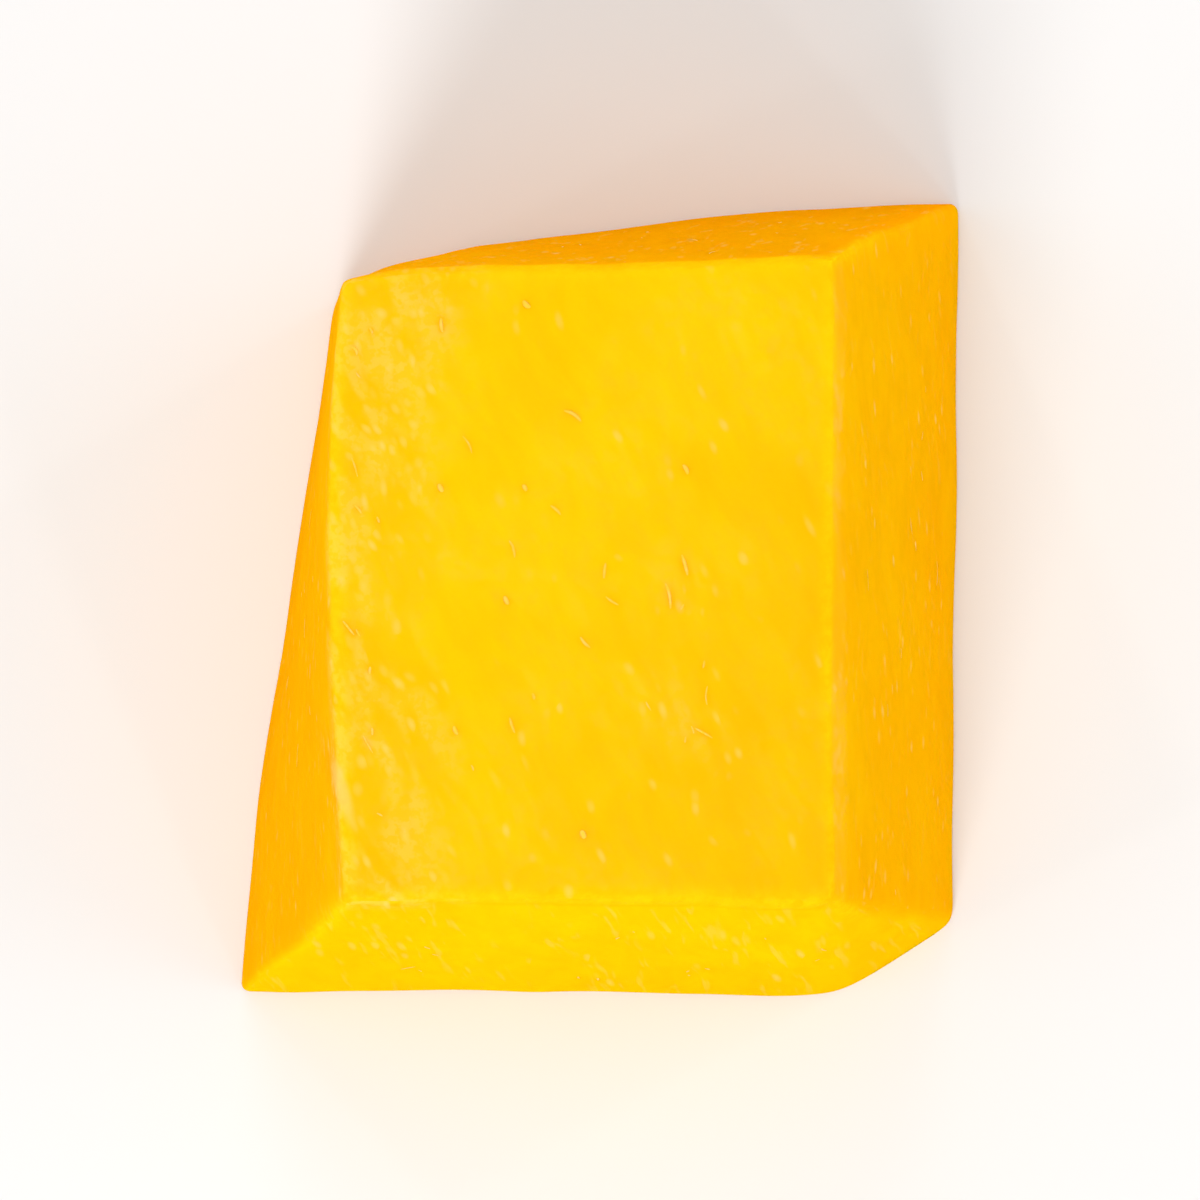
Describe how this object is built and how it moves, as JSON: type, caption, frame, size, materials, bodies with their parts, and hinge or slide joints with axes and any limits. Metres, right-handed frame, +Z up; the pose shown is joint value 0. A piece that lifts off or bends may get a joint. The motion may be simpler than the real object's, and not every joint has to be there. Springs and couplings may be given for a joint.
{
  "type": "mango chunk",
  "caption": "Hand-cut chunk of ripe peeled mango with a broad peeled top, four leaning knife-cut sides and a flat bottom, to lie on a plate or in a bowl or tub.",
  "frame": {"origin": "on the flat bottom, under the middle of the chunk's outline", "axes": "+Z up from the flat bottom to the peeled top; Y along the chunk's length, with -Y at its more sloping near end; +X towards its right-hand cut, which slopes most"},
  "size_m": [0.0334, 0.037, 0.0239],
  "materials": {
    "mango_flesh": "ripe golden-yellow fruit flesh, wet and slightly translucent, with fine fibres and a paler streak where it was peeled"
  },
  "bodies": {
    "root": {"mango_chunk": "mango_flesh"}
  },
  "joints": []
}
